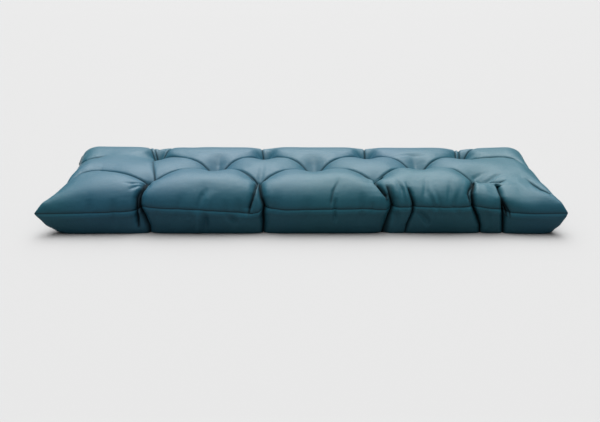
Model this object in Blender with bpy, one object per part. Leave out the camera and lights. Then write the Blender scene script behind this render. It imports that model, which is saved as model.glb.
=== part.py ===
"""Tufted bench cushion, lying on its back on a flat seat.

Two fabric panels, a top and a bottom one, are sewn together along a single seam that runs round the
middle of the cushion's height. Threads drawn through the filling pull in eleven tufts, and folds run
from tuft to tuft and from the tufts over the edges. The corners stand out as pointed ears.

Metres, +Z up, the length along X, the front edge towards -Y, the origin under the middle of the cushion
on the surface that it lies on.
"""

import bmesh
import bpy
import numpy as np

# Driving dimensions, in metres
LENGTH = 1.50  # between the tips of the ears, along the bench
DEPTH = 0.52  # between the tips of the ears, front to back
CROWN = 0.078  # the top panel's fullest rise above the seam
BACK_LIFT = 0.008  # the back row of puffs stands this much fuller
BELLY = 0.110  # the bottom panel's fullest drop below the seam, before the seat flattens it
SEAT_BLEND = 0.008  # the height over which the belly turns into the flat that lies on the seat
LEFT_DRAW = 0.050  # how far the middle of the left end is drawn in from its ears
RIGHT_DRAW = 0.036  # the same at the right end
SIDE_DRAW = 0.024  # how far the middle of each long side is drawn in from the ears
DRAW_FROM = 0.56  # that draw starts this far from the middle, and is whole by DRAW_TO
DRAW_TO = 0.73
END_EAR = 2.5  # a higher power keeps a short end straight for longer before its ears flare out
EAR_BLUNTNESS = 0.44  # 0.5 keeps an ear's faces straight, and less rounds them
SIDE_EAR = 10  # the same for a long side

# How a panel turns over from the seam into its flat: how much fabric it takes, how far that is on the
# plan, the power of its quarter round (1 is a circle, less is squarer), and how far it swells out past
# the seam on the way. Past EDGE_BAND of fabric, which is EDGE_PLAN on the plan, both panels lie alike.
ROLL = ("fabric", "size", "power", "swell")
TOP_ROLLS = {
    "side": (0.150, 0.118, 1.05, 0.006),
    "left": (0.115, 0.076, 0.90, 0.008),
    "right": (0.115, 0.076, 0.90, 0.008),
}
BASE_ROLLS = {
    "side": (0.095, 0.042, 0.75, 0.003),
    "left": (0.150, 0.110, 1.15, 0.0),
    "right": (0.125, 0.080, 0.95, 0.0),
}
EDGE_BAND = 0.150
EDGE_PLAN = 0.118

# The stitched line lies in a fine channel
SEAM_CHANNEL_DEPTH = 0.0035
SEAM_CHANNEL_WIDTH = 0.0040

# Fabric grid and the size of the finished solid
PANEL_COLUMNS = 280
PANEL_ROWS = 120
EDGE_CROWDING = 1.25  # rows and columns stand closer together near the seam as this nears a right angle
SOLID_TRIANGLES = 11400
WELD = 0.00005  # points of the two panels' edges that lie closer than this become one
LEVEL = 0.0002  # points lower than this are brought down to the seat

COVER_COLOUR = (0.055, 0.165, 0.215, 1.0)
COVER_ROUGHNESS = 0.62

# Where the tufts are drawn in: each row's place from front to back, and the tufts along it
TUFT_ROWS = {
    "front": {"y": -0.122, "x": (-0.462, -0.127, 0.216, 0.508)},
    "middle": {"y": 0.010, "x": (-0.262, 0.042, 0.352)},
    "back": {"y": 0.136, "x": (-0.458, -0.118, 0.204, 0.512)},
}
TUFT_PULL = 0.78  # share of the puff's rise that a tuft takes away
TUFT_REACH = 0.078

# Height of the sewn seam along the front edge. It jumps a little where a cleft swallows it.
FRONT_SEAM = (
    # x, height
    (-0.750, 0.070),
    (-0.600, 0.073),
    (-0.440, 0.078),
    (-0.415, 0.077),
    (-0.250, 0.070),
    (-0.145, 0.066),
    (-0.115, 0.076),
    (0.120, 0.077),
    (0.235, 0.072),
    (0.260, 0.083),
    (0.480, 0.083),
    (0.570, 0.076),
    (0.595, 0.067),
    (0.750, 0.072),
)
BACK_SEAM_HEIGHT = 0.082
BACK_EAR_HEIGHT = 0.090

# Folds pressed into the top panel between two tufts, or between a tuft and an edge. Each starts and
# ends at a point on the panel; depth is the share of the puff's rise that is lost at its start, middle
# and end, and reach is how far to each side the puffs take to be full again.
FOLD = ("start", "end", "depth", "reach")
TOP_FOLDS = (
    # from the end tufts to the short ends
    ((-0.462, -0.122), (-0.745, 0.000), (0.60, 0.44, 0.50), 0.085),
    ((-0.458, 0.136), (-0.740, 0.190), (0.40, 0.05, 0.30), 0.060),
    ((0.508, -0.122), (0.590, -0.135), (0.60, 0.42, 0.42), 0.060),
    ((0.590, -0.135), (0.745, -0.085), (0.42, 0.30, 0.45), 0.075),
    ((0.512, 0.136), (0.745, 0.235), (0.55, 0.45, 0.50), 0.070),
    # between the end tufts of the front and back rows, where the middle row has none
    ((-0.462, -0.122), (-0.458, 0.136), (0.50, 0.14, 0.50), 0.070),
    ((0.508, -0.122), (0.512, 0.136), (0.45, 0.22, 0.45), 0.070),
)
DIAMOND_DEPTH = (0.66, 0.16, 0.66)
DIAMOND_REACH = 0.080
FOLD_ROUNDING = 0.006
FOLD_FADE = 1.5  # a higher power keeps a fold deep only close to its ends

# Clefts that run from a tuft over an edge and down the face, where the long sides are pulled in. Each
# has its place along the edge at the tuft, at the seam and at the seat, how far it draws the face in,
# how much of the rise it takes away, its reach to the left and right, and how far it runs past the
# tuft row.
CLEFT = ("tuft", "seam", "seat", "draw", "depth", "left", "right", "past")
FRONT_CLEFTS = (
    (-0.462, -0.428, -0.420, 0.036, 0.52, 0.070, 0.060, 0.06),
    (-0.127, -0.118, -0.112, 0.028, 0.46, 0.065, 0.060, 0.06),
    (0.216, 0.247, 0.222, 0.030, 0.46, 0.060, 0.060, 0.06),
    (0.508, 0.480, 0.505, 0.026, 0.44, 0.060, 0.045, 0.06),
    (0.575, 0.583, 0.570, 0.022, 0.28, 0.040, 0.050, -0.02),
)
BACK_CLEFTS = (
    (-0.458, -0.445, -0.445, 0.018, 0.15, 0.060, 0.060, 0.05),
    (-0.118, -0.132, -0.130, 0.020, 0.18, 0.055, 0.065, 0.05),
    (0.204, 0.190, 0.190, 0.020, 0.18, 0.055, 0.065, 0.05),
    (0.512, 0.500, 0.500, 0.018, 0.17, 0.060, 0.060, 0.05),
)
FACE_REACH = 0.70  # a cleft in the upright face is this much narrower than over the top
SEAT_TURN = 0.090  # fabric between the seam and where the face reaches the seat
SEAT_DRAW = 0.30  # share of a cleft's draw that is left where the face reaches the seat
CLEFT_FADE = 0.06  # a cleft fades out over this much fabric at its tuft
CLEFT_SWAY = 0.05  # the fabric to this side of a cleft's line leans with it
DRAW_WHOLE = 0.8  # a cleft's draw is whole this far along from the tuft row to the seam
BELLY_SHARE = 0.60  # share of the folds and tufts that shows in the bottom panel too
SHARPEST = 3  # where folds meet, a higher power lets the deepest one win
DEEPEST = 0.86  # the most of the rise that folds and tufts can take away together

# Puffs that hold more or less filling than the rest: where, how much higher they stand, and how wide
PUFF = ("place", "higher", "reach")
PUFFS = (
    ((-0.62, 0.16), 0.011, 0.14),
    ((-0.28, 0.20), 0.006, 0.13),
    ((0.04, 0.20), 0.002, 0.13),
    ((0.36, 0.20), 0.003, 0.13),
    ((0.58, 0.20), 0.012, 0.13),
    ((-0.69, -0.19), -0.020, 0.07),
    ((-0.29, -0.12), 0.003, 0.12),
    ((0.04, -0.13), -0.002, 0.12),
    ((0.36, -0.12), 0.002, 0.12),
    ((0.54, -0.14), -0.016, 0.06),
    ((0.67, -0.17), -0.014, 0.09),
)


def ease(x):
    """0 to 1 with level ends."""
    x = np.clip(x, 0.0, 1.0)
    return x * x * (3.0 - 2.0 * x)


def closeness(distance, reach, rounding=0.0):
    """1 on a fold's line, 0 at its reach, with the round cheeks of two puffs that meet in a sharp line,
    or in a narrow round one."""
    distance = np.hypot(distance, rounding) - rounding
    away = 1.0 - np.clip(distance / reach, 0.0, 1.0)
    return 1.0 - np.sqrt(np.clip(1.0 - away * away, 0.0, 1.0))


def roll(from_seam, shape):
    """(inset, rise) of the fabric at a distance from the seam, measured along the fabric."""
    part = dict(zip(ROLL, shape))
    turn = np.clip(from_seam / part["fabric"], 0.0, 1.0) * np.pi / 2
    inset = part["size"] * (1.0 - np.abs(np.cos(turn)) ** part["power"])
    inset = inset - part["swell"] * np.sin(2 * turn)
    # past its turn a panel lies flat
    flat = np.clip(from_seam - part["fabric"], 0.0, EDGE_BAND - part["fabric"])
    stretch = (EDGE_PLAN - part["size"]) / max(EDGE_BAND - part["fabric"], LEVEL)
    inset = inset + flat * stretch + np.maximum(from_seam - EDGE_BAND, 0.0)
    return inset, np.sin(turn) ** part["power"]


def along_segment(x, y, start, end):
    """(distance, share of the way) of points from a segment."""
    (x0, y0), (x1, y1) = start, end
    dx, dy = x1 - x0, y1 - y0
    share = np.clip(((x - x0) * dx + (y - y0) * dy) / (dx * dx + dy * dy), 0.0, 1.0)
    return np.hypot(x - x0 - share * dx, y - y0 - share * dy), share


def diamond_folds():
    """The folds that join each tuft of the middle row to its neighbours in the other two."""
    middle = TUFT_ROWS["middle"]
    folds = []
    for name in ("front", "back"):
        row = TUFT_ROWS[name]
        for x in middle["x"]:
            left = max(t for t in row["x"] if t < x)
            right = min(t for t in row["x"] if t > x)
            for t in (left, right):
                folds.append(((x, middle["y"]), (t, row["y"]), DIAMOND_DEPTH, DIAMOND_REACH))
    return folds


def folds_and_tufts(x, y):
    """Share of the rise that folds and tufts take away at each point of a panel, to the power SHARPEST."""
    taken = np.zeros_like(x)
    for fold in (*TOP_FOLDS, *diamond_folds()):
        part = dict(zip(FOLD, fold))
        distance, share = along_segment(x, y, part["start"], part["end"])
        start, middle, end = part["depth"]
        from_middle = np.abs(2 * share - 1) ** FOLD_FADE
        depth = middle + (np.where(share < 0.5, start, end) - middle) * from_middle
        taken += (depth * closeness(distance, part["reach"], FOLD_ROUNDING)) ** SHARPEST
    for row in TUFT_ROWS.values():
        for tuft in row["x"]:
            distance = np.hypot(x - tuft, y - row["y"])
            taken += (TUFT_PULL * closeness(distance, TUFT_REACH, FOLD_ROUNDING)) ** SHARPEST
    return taken


def clefts(x, from_seam, on_top, clefts_table, row_to_seam):
    """(share of the rise taken away to the power SHARPEST, inward draw of the face, sideways shift) of
    the clefts over one long side. from_seam is measured along the fabric, and row_to_seam is the tuft
    row's distance. The shift lays a whole column of the grid along each cleft, so that it stays sharp."""
    taken = np.zeros_like(x)
    draw = np.zeros_like(x)
    shift = np.zeros_like(x)
    seam_columns = x[from_seam < WELD]
    # 1 at the seam, 0 at the tuft row, below 0 past it
    to_edge = 1.0 - from_seam / row_to_seam
    for cleft in clefts_table:
        part = dict(zip(CLEFT, cleft))
        far_end = part["tuft"] if on_top else part["seat"]
        line = far_end + (part["seam"] - far_end) * ease(to_edge)
        column = seam_columns[np.abs(seam_columns - part["seam"]).argmin()]
        reach = np.where(x < column, part["left"], part["right"])
        away = np.abs(x - column)
        fade = ease((part["past"] + to_edge * row_to_seam) / CLEFT_FADE)
        taken += (part["depth"] * closeness(away, reach) * fade) ** SHARPEST
        pinch = part["draw"] * closeness(away, FACE_REACH * reach)
        pinch = pinch * ease(to_edge / DRAW_WHOLE)
        if not on_top:
            pinch = pinch * (1.0 - (1.0 - SEAT_DRAW) * ease(from_seam / SEAT_TURN))
        draw = np.maximum(draw, pinch)
        near = np.exp(-((away / CLEFT_SWAY) ** 2))
        shift += (line - column) * near * ease(1.0 + to_edge)
    return taken, draw, shift


def plumpness(x, y):
    """How much higher than the rest the panel stands at each point."""
    higher = np.zeros_like(x)
    for puff in PUFFS:
        part = dict(zip(PUFF, puff))
        away = np.hypot(x - part["place"][0], y - part["place"][1]) / part["reach"]
        higher += part["higher"] * np.exp(-(away**2))
    return higher


def seam_height(x, back):
    """Height of the seam above the seat; back is 0 at the front edge and 1 at the back edge."""
    front_line = np.interp(x, [p[0] for p in FRONT_SEAM], [p[1] for p in FRONT_SEAM])
    ear = (np.abs(x) / (LENGTH / 2)) ** SIDE_EAR
    back_line = BACK_SEAM_HEIGHT + (BACK_EAR_HEIGHT - BACK_SEAM_HEIGHT) * ear
    return front_line + (back_line - front_line) * ease(back)


def panel_point(across, along, on_top):
    """Places points of one panel. across and along run from -1 to 1 over the flat fabric."""
    rolls = TOP_ROLLS if on_top else BASE_ROLLS
    half_x = LENGTH / 2 - EDGE_PLAN + EDGE_BAND
    half_y = DEPTH / 2 - EDGE_PLAN + EDGE_BAND
    from_end = half_x * (1 - np.abs(across))
    from_side = half_y * (1 - np.abs(along))
    left, right = (np.stack(roll(from_end, rolls[end])) for end in ("left", "right"))
    inset_x, rise_x = np.where(across < 0, left, right)
    inset_y, rise_y = roll(from_side, rolls["side"])
    # along the seam itself the fabric of both panels is spread evenly
    seam_x, seam_y = (
        np.interp(distance, (0.0, EDGE_BAND, LENGTH), (0.0, EDGE_PLAN, LENGTH - EDGE_BAND + EDGE_PLAN))
        for distance in (from_end, from_side)
    )
    inset_x = seam_x + (inset_x - seam_x) * rise_y
    inset_y = seam_y + (inset_y - seam_y) * rise_x

    end_ear = np.abs(along) ** END_EAR
    side_ear = np.abs(across) ** SIDE_EAR
    channel_x, channel_y = (
        SEAM_CHANNEL_DEPTH * (1 - ear) * np.exp(-distance / SEAM_CHANNEL_WIDTH)
        for ear, distance in ((end_ear, from_end), (side_ear, from_side))
    )
    inset_x = inset_x + channel_x
    inset_y = inset_y + channel_y
    end_draw = np.where(across < 0, LEFT_DRAW, RIGHT_DRAW)
    out = LENGTH / 2 - inset_x
    drawn = end_draw * (1 - end_ear) * ease((out - DRAW_FROM) / (DRAW_TO - DRAW_FROM))
    x = np.sign(across) * (out - drawn)
    y = np.sign(along) * (DEPTH / 2 - inset_y) * (1 - SIDE_DRAW * (1 - side_ear) / (DEPTH / 2))

    middle_to_row = {name: abs(row["y"]) for name, row in TUFT_ROWS.items()}
    front = clefts(x, half_y * (1 + along), on_top, FRONT_CLEFTS, half_y - middle_to_row["front"])
    back = clefts(x, half_y * (1 - along), on_top, BACK_CLEFTS, half_y - middle_to_row["back"])
    x = x + front[2] + back[2]
    taken = folds_and_tufts(x, y) + front[0] + back[0]
    taken = np.minimum(taken ** (1 / SHARPEST), DEEPEST)
    y = y + front[1] - back[1]

    seam = seam_height(x, (y + DEPTH / 2) / DEPTH)
    # the smaller of the two rises wins, softly, which leaves the ears blunt
    on_seam = np.minimum(rise_x, rise_y) < LEVEL
    steep = np.maximum(rise_x, LEVEL) ** -2 + np.maximum(rise_y, LEVEL) ** -2 - 1
    rise = np.where(on_seam, 0.0, steep**-EAR_BLUNTNESS)
    if on_top:
        full = CROWN + BACK_LIFT * ease(y / (DEPTH / 2)) + plumpness(x, y)
        z = seam + full * rise * (1 - taken)
    else:
        z = seam - BELLY * rise * (1 - BELLY_SHARE * taken)
        blended = (z + SEAT_BLEND) ** 2 / (4 * SEAT_BLEND)
        z = np.where(z > SEAT_BLEND, z, np.where(z < -SEAT_BLEND, 0.0, blended))
    return x, y, z


def make_panel(on_top):
    """One fabric panel as a grid, shaped by panel_point."""
    panel = bmesh.new()
    bmesh.ops.create_grid(panel, x_segments=PANEL_COLUMNS, y_segments=PANEL_ROWS, size=1.0)
    flat = np.array([v.co for v in panel.verts])
    across, along = (np.sin(flat[:, i] * EDGE_CROWDING) / np.sin(EDGE_CROWDING) for i in (0, 1))
    places = np.stack(panel_point(across, along, on_top), axis=1)
    for vertex, place in zip(panel.verts, places):
        vertex.co = place
    # each corner's face is cut through the corner, or the two panels would share a triangle there
    for corner in [v for v in panel.verts if len(v.link_edges) == 2]:
        inner = max(corner.link_faces[0].verts, key=lambda v: len(v.link_edges))
        bmesh.ops.connect_verts(panel, verts=[corner, inner])
    if not on_top:
        bmesh.ops.reverse_faces(panel, faces=panel.faces)
    return panel


def sew(panels, name):
    """Joins the panels along the seam into one closed mesh."""
    whole = bmesh.new()
    for panel in panels:
        part = bpy.data.meshes.new("panel")
        panel.to_mesh(part)
        panel.free()
        whole.from_mesh(part)
        bpy.data.meshes.remove(part)
    bmesh.ops.remove_doubles(whole, verts=whole.verts, dist=WELD)
    mesh = bpy.data.meshes.new(name)
    whole.to_mesh(mesh)
    whole.free()
    return mesh


def simplified(cushion, name):
    """The same shape in SOLID_TRIANGLES triangles, more of them where it is folded."""
    fine = sum(len(p.vertices) - 2 for p in cushion.data.polygons)
    fewer = cushion.modifiers.new("Fewer triangles", "DECIMATE")
    fewer.ratio = SOLID_TRIANGLES / fine
    fewer.use_collapse_triangulate = True
    bpy.context.view_layer.update()
    graph = bpy.context.evaluated_depsgraph_get()
    mesh = bpy.data.meshes.new_from_object(cushion.evaluated_get(graph))
    mesh.name = name
    cushion.modifiers.clear()
    return mesh


def true_up(mesh):
    """Brings the ears back to the exact length and depth, and the base back to a level face."""
    places = np.array([v.co for v in mesh.vertices])
    low, high = places.min(axis=0), places.max(axis=0)
    for axis, size in ((0, LENGTH), (1, DEPTH)):
        places[:, axis] = ((places[:, axis] - low[axis]) / (high[axis] - low[axis]) - 0.5) * size
    places[places[:, 2] < LEVEL, 2] = 0.0
    for vertex, place in zip(mesh.vertices, places):
        vertex.co = place


def cover_material():
    material = bpy.data.materials.new("cover")
    material.use_nodes = True
    shader = material.node_tree.nodes["Principled BSDF"]
    shader.inputs["Base Color"].default_value = COVER_COLOUR
    shader.inputs["Roughness"].default_value = COVER_ROUGHNESS
    shader.inputs["Metallic"].default_value = 0.0
    return material


def clear_scene():
    for obj in list(bpy.data.objects):
        bpy.data.objects.remove(obj, do_unlink=True)


def main():
    clear_scene()
    collection = bpy.data.collections.new("bench_cushion")
    bpy.context.scene.collection.children.link(collection)
    cushion = bpy.data.objects.new("cushion", sew((make_panel(True), make_panel(False)), "fine"))
    collection.objects.link(cushion)
    cushion.data = simplified(cushion, "cushion")
    true_up(cushion.data)
    cushion.data.materials.append(cover_material())
    cushion.data.shade_smooth()


main()
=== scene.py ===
# Tufted bench cushion in a plain blue-green cloth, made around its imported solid.
# Metres, +Z up, the length along X, the front edge towards -Y.
import math

import bmesh
import bpy
import numpy as np
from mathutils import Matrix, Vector


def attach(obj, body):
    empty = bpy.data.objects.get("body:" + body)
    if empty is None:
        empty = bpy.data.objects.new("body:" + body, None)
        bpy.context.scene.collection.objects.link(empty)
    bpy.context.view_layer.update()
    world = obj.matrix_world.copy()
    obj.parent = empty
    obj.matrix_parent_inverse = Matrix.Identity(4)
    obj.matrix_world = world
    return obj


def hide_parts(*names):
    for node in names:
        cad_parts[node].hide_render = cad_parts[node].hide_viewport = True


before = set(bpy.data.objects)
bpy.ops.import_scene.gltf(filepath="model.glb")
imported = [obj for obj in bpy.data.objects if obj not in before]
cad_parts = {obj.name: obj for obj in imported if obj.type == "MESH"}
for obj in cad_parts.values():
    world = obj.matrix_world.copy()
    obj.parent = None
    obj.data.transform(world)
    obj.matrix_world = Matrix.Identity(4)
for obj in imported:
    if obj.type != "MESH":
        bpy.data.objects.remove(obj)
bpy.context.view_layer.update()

scene = bpy.context.scene


# Camera: the photograph's own view, about 16 degrees down from 2.6 m
cameraView = {"lens": 51.9, "sensor": 36.0, "tilt": 16.06, "place": (-0.003, -2.585, 0.744)}


def addCamera(view):
    optics = bpy.data.cameras.new("camera")
    optics.lens = view["lens"]
    optics.sensor_width = view["sensor"]
    camera = bpy.data.objects.new("camera", optics)
    camera.location = view["place"]
    camera.rotation_euler = (math.radians(90 - view["tilt"]), 0, 0)
    scene.collection.objects.link(camera)
    scene.camera = camera


addCamera(cameraView)
print("camera set")


# Light: a soft white dome, brightest just behind the top, over a plain floor
lights = {
    "lobes": (  # way to the brightest place, how tightly it falls off, brightness
        ((0.0, 0.20, 0.98), 8.5, 12.6),
        ((0.0, 0.66, 0.75), 14.0, 6.2),
        ((0.0, -0.34, 0.94), 5.0, 1.0),
    ),
    "allRound": 0.11,
    "floorSize": 120,
    "floorColour": (0.24, 0.24, 0.24),
    "floorRoughness": 0.9,
    "floorSpecular": 0.1,
}


def addNode(tree, kind, feeds, **kit):  # one shader node, with its settings, its values and what runs into it
    node = tree.nodes.new("ShaderNode" + kind)
    for name, value in kit.items():
        setattr(node, name, value)
    for socket, value in feeds.items():
        if isinstance(value, bpy.types.NodeSocket):
            tree.links.new(value, node.inputs[socket])
        else:
            node.inputs[socket].default_value = value
    return node


def addLights(kit):
    world = bpy.data.worlds.new("studio")
    scene.world = world
    world.use_nodes = True
    tree = world.node_tree
    way = addNode(tree, "TexCoord", {}).outputs["Generated"]
    total = kit["allRound"]
    for towards, tightness, brightness in kit["lobes"]:
        feeds = {0: way, 1: Vector(towards).normalized()}
        facing = addNode(tree, "VectorMath", feeds, operation="DOT_PRODUCT").outputs["Value"]
        above = addNode(tree, "Math", {0: facing, 1: 0.0}, operation="MAXIMUM").outputs[0]
        fall = addNode(tree, "Math", {0: above, 1: tightness}, operation="POWER").outputs[0]
        feeds = {0: fall, 1: brightness, 2: total}
        total = addNode(tree, "Math", feeds, operation="MULTIPLY_ADD").outputs[0]
    sky = tree.nodes["Background"]
    sky.inputs["Color"].default_value = (1, 1, 1, 1)
    tree.links.new(total, sky.inputs["Strength"])


def addFloor(kit):
    bm = bmesh.new()
    bmesh.ops.create_grid(bm, x_segments=1, y_segments=1, size=kit["floorSize"] / 2)
    mesh = bpy.data.meshes.new("floor")
    bm.to_mesh(mesh)
    bm.free()
    floor = bpy.data.objects.new("floor", mesh)
    scene.collection.objects.link(floor)
    paint = bpy.data.materials.new("pale floor")
    paint.use_nodes = True
    shader = paint.node_tree.nodes["Principled BSDF"]
    shader.inputs["Base Color"].default_value = (*kit["floorColour"], 1)
    shader.inputs["Roughness"].default_value = kit["floorRoughness"]
    shader.inputs["Specular IOR Level"].default_value = kit["floorSpecular"]
    mesh.materials.append(paint)


addLights(lights)
addFloor(lights)
scene.view_settings.view_transform = "Standard"
print("light and floor set")


# The cushion's shape, in metres. Fabric is measured from the middle of a panel, along the cloth.
shape = {
    "length": 1.50,
    "depth": 0.52,
    "crown": 0.080,  # the top panel's rise above the seam
    "backLift": 0.008,  # the back row stands fuller
    "belly": 0.110,  # the bottom panel's drop, before the floor flattens it
    "floorBlend": 0.008,  # how softly the base turns level where it lies
    "leftDraw": (0.062, 0.046),  # how far the middle of the left end is drawn in, front and back half
    "rightDraw": (0.040, 0.034),
    "sideDraw": 0.008,  # and a long side between its ears
    "drawFrom": 0.56,  # an end starts to be drawn in this far from the middle,
    "drawTo": 0.73,  # and is drawn in fully here
    "endEar": 2.5,  # a higher power makes the ears narrower, along an end
    "sideEar": 10,  # and along a long side
    "earBluntness": 0.27,
    "earPower": 0.75,
    "earTip": 0.42,  # the rise at which an ear has its full roundness
    "edgeBand": 0.150,  # fabric taken by the turn over an edge
    "edgePlan": 0.118,  # and what it covers on the plan
    "backSeam": 0.082,  # height of the seam along the back
    "backEarRise": 0.008,
    "sewnBand": 0.020,  # this near to the seam both panels turn to face the same way
    "channelDepth": 0.0036,  # the groove that the stitching lies in
    "channelWidth": 0.0022,
    "lip": 0.0014,  # the seam allowance inside lifts the cloth just below the groove
    "lipAt": 0.0070,
    "lipWidth": 0.0030,
    "columns": 720,
    "rows": 300,
    "crowding": 1.12,  # rows and columns stand closer near the seam
    "sewnWithin": 0.0001,  # points on the two panels' edges that are nearer than this are one
    "sharpest": 3,  # where folds meet, a higher power lets the deepest win
    "deepest": 0.066,  # folds and hollows together stay above this
    "topFade": 0.030,  # hollows and creases of the top end this far from the seam
    "baseFade": 0.100,
    "baseHollows": 0.2,  # the base's hollows against the top's
    "wrinkleFade": 0.016,
    "baseWrinkling": 1.9,  # the base's own wrinkles against their table
}

# How a panel turns over from the seam: fabric taken, plan covered, power of its round, swell past the seam
topRolls = {
    "side": (0.150, 0.118, 0.86, -0.003),
    "left": (0.115, 0.076, 0.80, 0.006),
    "right": (0.115, 0.076, 0.80, 0.006),
}
baseRolls = {
    "side": (0.095, 0.040, 0.95, -0.008),
    "left": (0.150, 0.110, 1.02, 0.0),
    "right": (0.125, 0.080, 0.82, 0.0),
}

# Height of the seam along the front: x, height. It jumps where a cleft swallows it.
frontSeam = (
    (-0.750, 0.066),
    (-0.600, 0.067),
    (-0.466, 0.070),
    (-0.446, 0.082),
    (-0.300, 0.077),
    (-0.190, 0.069),
    (-0.140, 0.063),
    (-0.120, 0.066),
    (-0.106, 0.079),
    (-0.040, 0.075),
    (0.060, 0.078),
    (0.186, 0.079),
    (0.240, 0.073),
    (0.256, 0.080),
    (0.330, 0.084),
    (0.480, 0.082),
    (0.500, 0.083),
    (0.556, 0.076),
    (0.588, 0.066),
    (0.660, 0.065),
    (0.750, 0.068),
)

# The level of the panels behind it, without the jumps
frontLevel = (
    (-0.750, 0.070),
    (-0.460, 0.075),
    (-0.280, 0.079),
    (-0.120, 0.077),
    (0.050, 0.080),
    (0.220, 0.082),
    (0.400, 0.086),
    (0.520, 0.082),
    (0.620, 0.071),
    (0.750, 0.070),
)

# Where the top stands higher or lower than its crown: x, y, how much, reach
puffs = (
    (-0.62, 0.16, 0.001, 0.14),
    (-0.28, 0.20, -0.001, 0.13),
    (0.04, 0.20, -0.002, 0.13),
    (0.36, 0.20, -0.004, 0.13),
    (0.58, 0.20, -0.003, 0.13),
    (-0.69, -0.19, -0.020, 0.07),
    (0.04, -0.13, -0.004, 0.12),
    (0.54, -0.14, -0.016, 0.06),
    (0.67, -0.17, -0.014, 0.09),
    (0.35, -0.235, -0.013, 0.08),
    (0.53, -0.235, -0.013, 0.05),
    (0.63, -0.230, -0.013, 0.07),
)

# Tufts, drawn in through the filling: x, y, depth, reach of the hollow round each to the front and behind
tufts = {
    "front": (
        (-0.441, -0.134, 0.043, 0.100, 0.110),
        (-0.122, -0.134, 0.040, 0.095, 0.110),
        (0.216, -0.134, 0.043, 0.095, 0.105),
        (0.510, -0.134, 0.040, 0.085, 0.095),
    ),
    "middle": (
        (-0.260, 0.009, 0.054, 0.155, 0.110),
        (0.040, 0.009, 0.053, 0.155, 0.110),
        (0.358, 0.009, 0.056, 0.155, 0.110),
    ),
    "back": (
        (-0.458, 0.144, 0.054, 0.150, 0.036),
        (-0.115, 0.146, 0.048, 0.145, 0.040),
        (0.206, 0.146, 0.048, 0.145, 0.040),
        (0.516, 0.144, 0.054, 0.150, 0.036),
    ),
}
hollowTurn = {"band": 0.09, "at": 0.95}  # where the reach to the front gives way to the one behind

# The creases of the diamonds, from each middle tuft to its neighbours: depth at tuft, midway and other
# tuft, reach on the near side and on the far side
diamonds = {"depth": (0.018, 0.019, 0.018), "near": 0.050, "far": 0.075, "fade": 1.6}

# Other creases of the top panel: name, points along it (x, y, depth), reach to the left and right of its way
topFolds = (
    ("left long", (
        (-0.765, -0.150, 0.008), (-0.720, -0.122, 0.017), (-0.684, -0.092, 0.022), (-0.647, -0.076, 0.024),
        (-0.608, -0.072, 0.024), (-0.566, -0.083, 0.024), (-0.520, -0.105, 0.023), (-0.480, -0.124, 0.018),
        (-0.441, -0.134, 0.016),
    ), 0.050, 0.050),
    ("left back", (
        (-0.755, 0.080, 0.003), (-0.705, 0.056, 0.013), (-0.675, 0.062, 0.012), (-0.620, 0.076, 0.0),
    ), 0.040, 0.050),
    ("left pleat", (
        (-0.466, 0.140, 0.010), (-0.460, 0.040, 0.006), (-0.444, -0.050, 0.007), (-0.428, -0.125, 0.009),
    ), 0.040, 0.020),
    ("right short", (
        (0.510, -0.134, 0.010), (0.540, -0.140, 0.010), (0.575, -0.150, 0.014), (0.600, -0.150, 0.0),
    ), 0.030, 0.040),
    ("right edge", (
        (0.668, -0.134, 0.0), (0.684, -0.160, 0.010), (0.702, -0.188, 0.014), (0.730, -0.212, 0.009),
    ), 0.030, 0.040),
    ("right back", (
        (0.516, 0.144, 0.014), (0.534, 0.108, 0.014), (0.562, 0.088, 0.013), (0.600, 0.082, 0.013),
        (0.636, 0.084, 0.014), (0.664, 0.080, 0.017), (0.688, 0.062, 0.019), (0.710, 0.032, 0.017),
        (0.730, -0.005, 0.010), (0.745, -0.040, 0.0),
    ), 0.040, 0.050),
    ("second double", ((-0.196, -0.066, 0.0), (-0.166, -0.104, 0.009), (-0.131, -0.143, 0.011)), 0.006, 0.012),
    ("third double", ((0.146, -0.092, 0.0), (0.178, -0.118, 0.009), (0.207, -0.143, 0.010)), 0.006, 0.012),
    ("back left 1", ((-0.466, 0.138, 0.016), (-0.486, 0.172, 0.008), (-0.520, 0.245, 0.003)), 0.012, 0.010),
    ("back left 2", ((-0.456, 0.140, 0.014), (-0.472, 0.172, 0.007), (-0.502, 0.245, 0.003)), 0.008, 0.010),
    ("back left 3", ((-0.446, 0.142, 0.018), (-0.428, 0.175, 0.009), (-0.390, 0.245, 0.003)), 0.014, 0.020),
    ("back second", (
        (-0.117, 0.140, 0.030), (-0.122, 0.165, 0.015), (-0.128, 0.190, 0.006), (-0.142, 0.245, 0.003),
    ), 0.008, 0.010),
    ("back third", (
        (0.206, 0.140, 0.030), (0.207, 0.165, 0.015), (0.207, 0.190, 0.006), (0.208, 0.245, 0.003),
    ), 0.010, 0.008),
    ("back right 1", ((0.499, 0.140, 0.018), (0.502, 0.175, 0.008), (0.506, 0.245, 0.003)), 0.012, 0.008),
    ("back right 2", ((0.511, 0.140, 0.018), (0.515, 0.175, 0.008), (0.520, 0.245, 0.003)), 0.008, 0.012),
    ("back right 3", ((0.518, 0.146, 0.014), (0.562, 0.185, 0.008), (0.610, 0.225, 0.003)), 0.012, 0.020),
)

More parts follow.
